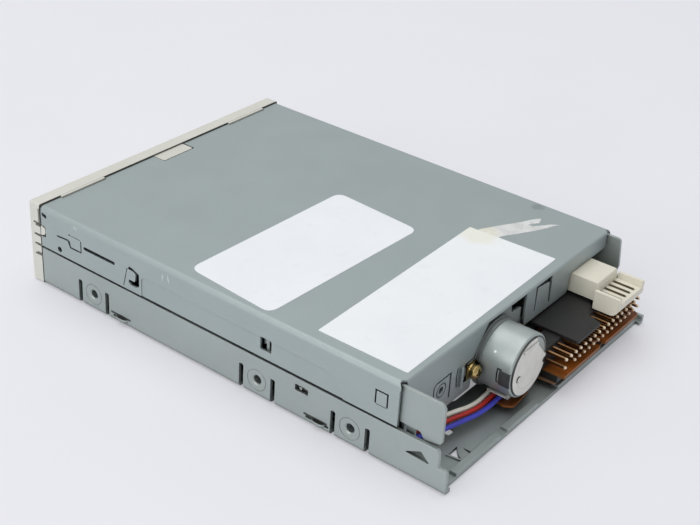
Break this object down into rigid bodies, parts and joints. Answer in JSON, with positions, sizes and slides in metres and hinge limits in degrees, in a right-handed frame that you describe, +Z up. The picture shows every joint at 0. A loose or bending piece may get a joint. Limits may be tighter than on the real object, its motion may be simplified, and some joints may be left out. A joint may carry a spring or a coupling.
{
  "type": "floppy disk drive",
  "caption": "Slot-loading magnetic disk drive in a folded steel case, with dust door, eject button, head carriage and rear connectors.",
  "frame": {"origin": "on the underside, on the centre line, in the plane where the front panel meets the tray", "axes": "+Y runs to the rear connectors, +Z up, +X to the right as seen from the front"},
  "size_m": [0.1016, 0.1459, 0.0254],
  "materials": {
    "cover_steel": "zinc-plated sheet, satin",
    "tray_steel": "zinc-plated sheet, satin",
    "slide_steel": "zinc-plated sheet, satin",
    "bright_steel": "ground and polished",
    "spring_steel": "drawn wire",
    "motor_steel": "zinc-plated, satin",
    "cap_steel": "bright, satin",
    "rotor_steel": "nickel-plated",
    "core_steel": "laminated, dull",
    "magnet": "bonded ferrite, dull",
    "copper_wire": "enamelled copper wire",
    "brass": "bare brass",
    "screw_steel": "zinc-plated",
    "bezel_plastic": "fine-grained",
    "light_window": "clear green",
    "led_plastic": "clear green",
    "cream_plastic": "smooth",
    "white_plastic": "smooth",
    "black_plastic": "smooth",
    "carriage_plastic": "glass-filled",
    "arm_plastic": "smooth",
    "switch_plastic": "smooth",
    "head_ceramic": "polished",
    "main_board": "phenolic board, satin",
    "green_board": "solder-masked board",
    "insulator": "polyester film",
    "flex_film": "polyimide film",
    "plated_pins": "plated",
    "white_lead": "PVC insulation",
    "red_lead": "PVC insulation",
    "blue_lead": "PVC insulation"
  },
  "bodies": {
    "case": {"top_cover": "cover_steel", "base_frame": "tray_steel", "chassis": "tray_steel", "rod_clamps": "slide_steel", "guide_rods": "bright_steel", "lever_pivot": "bright_steel", "eject_springs": "spring_steel", "lever_spring": "spring_steel", "stepper_flange": "motor_steel", "stepper_can": "motor_steel", "stepper_cap": "cap_steel", "stator_core": "core_steel", "stator_coils": "copper_wire", "motor_screws": "brass", "screw_bearing": "brass", "spindle_bearing": "brass", "chassis_screws": "screw_steel", "bezel": "bezel_plastic", "light_pipe": "light_window", "indicator_led": "led_plastic", "power_connector": "cream_plastic", "stepper_terminal": "white_plastic", "lead_plug": "white_plastic", "signal_header": "black_plastic", "board_spacer": "black_plastic", "track_sensor": "black_plastic", "switch_blocks": "black_plastic", "board_chips": "black_plastic", "main_board": "main_board", "stepper_board": "main_board", "spindle_board": "green_board", "insulator_sheet": "insulator", "head_flex": "flex_film", "header_pins": "plated_pins", "power_pins": "plated_pins", "lead_white": "white_lead", "lead_red": "red_lead", "lead_blue": "blue_lead"},
    "door": {"dust_door": "bezel_plastic", "door_spring": "spring_steel"},
    "slider": {"slide_plate": "slide_steel", "eject_button": "bezel_plastic"},
    "cage": {"disk_cage": "slide_steel", "cage_pins": "bright_steel"},
    "latch": {"latch_lever": "slide_steel"},
    "spindle": {"spindle_rotor": "rotor_steel", "rotor_magnet": "magnet", "spindle_hub": "cap_steel", "spindle_shaft": "bright_steel", "drive_pin": "bright_steel"},
    "screw": {"lead_screw": "bright_steel"},
    "carriage": {"head_carriage": "carriage_plastic", "screw_follower": "arm_plastic", "lower_head": "head_ceramic", "arm_spring": "spring_steel"},
    "arm": {"upper_arm": "arm_plastic", "upper_head": "head_ceramic"},
    "protect_switch": {"protect_plunger": "switch_plastic"},
    "density_switch": {"density_plunger": "switch_plastic"},
    "disk_switch": {"disk_plunger": "switch_plastic"}
  },
  "joints": [
    {"name": "eject_slide", "type": "slide", "parent": "case", "child": "slider", "axis": [0, -1, 0], "range_m": [0, 0.0045], "deforming": ["eject_springs"]},
    {"name": "cage_drop", "type": "slide", "parent": "case", "child": "cage", "axis": [0, 0, -1], "range_m": [0, 0.0028]},
    {"name": "latch_turn", "type": "hinge", "parent": "case", "child": "latch", "pos_m": [0.021, 0.104, 0.0105], "axis": [0, 0, 1], "range_deg": [0, 54.21]},
    {"name": "carriage_slide", "type": "slide", "parent": "case", "child": "carriage", "axis": [0, -1, 0], "range_m": [0, 0.015], "deforming": ["head_flex"]},
    {"name": "lead_screw_turn", "type": "hinge", "parent": "case", "child": "screw", "pos_m": [0.0091, 0.11, 0.0136], "axis": [0, 1, 0], "range_deg": [0, 1800.1]},
    {"name": "arm_lower", "type": "hinge", "parent": "carriage", "child": "arm", "pos_m": [0, 0.1145, 0.0175], "axis": [1, 0, 0], "range_deg": [0, 12.61]},
    {"name": "door_hinge", "type": "hinge", "parent": "case", "child": "door", "pos_m": [0, -0.0012, 0.0216], "axis": [1, 0, 0], "range_deg": [0, 88], "stiffness_Nm_per_rad": 0.0004, "springref_deg": -22.92},
    {"name": "spindle_spin", "type": "hinge", "parent": "case", "child": "spindle", "pos_m": [0, 0.05, 0.005], "axis": [0, 0, 1], "continuous": true},
    {"name": "protect_plunger_press", "type": "slide", "parent": "case", "child": "protect_switch", "axis": [0, 0, -1], "range_m": [0, 0.0016], "stiffness_N_per_m": 20, "springref_m": -0.001},
    {"name": "density_plunger_press", "type": "slide", "parent": "case", "child": "density_switch", "axis": [0, 0, -1], "range_m": [0, 0.0016], "stiffness_N_per_m": 20, "springref_m": -0.001},
    {"name": "disk_plunger_press", "type": "slide", "parent": "case", "child": "disk_switch", "axis": [0, 0, -1], "range_m": [0, 0.0016], "stiffness_N_per_m": 20, "springref_m": -0.001}
  ],
  "couplings": [
    {"joint": "cage_drop", "follows": "eject_slide", "ratio": 0.62222},
    {"joint": "latch_turn", "follows": "eject_slide", "rad_per_m": 210.22},
    {"joint": "arm_lower", "follows": "eject_slide", "rad_per_m": 48.869},
    {"joint": "lead_screw_turn", "follows": "carriage_slide", "rad_per_m": 2094.4}
  ]
}
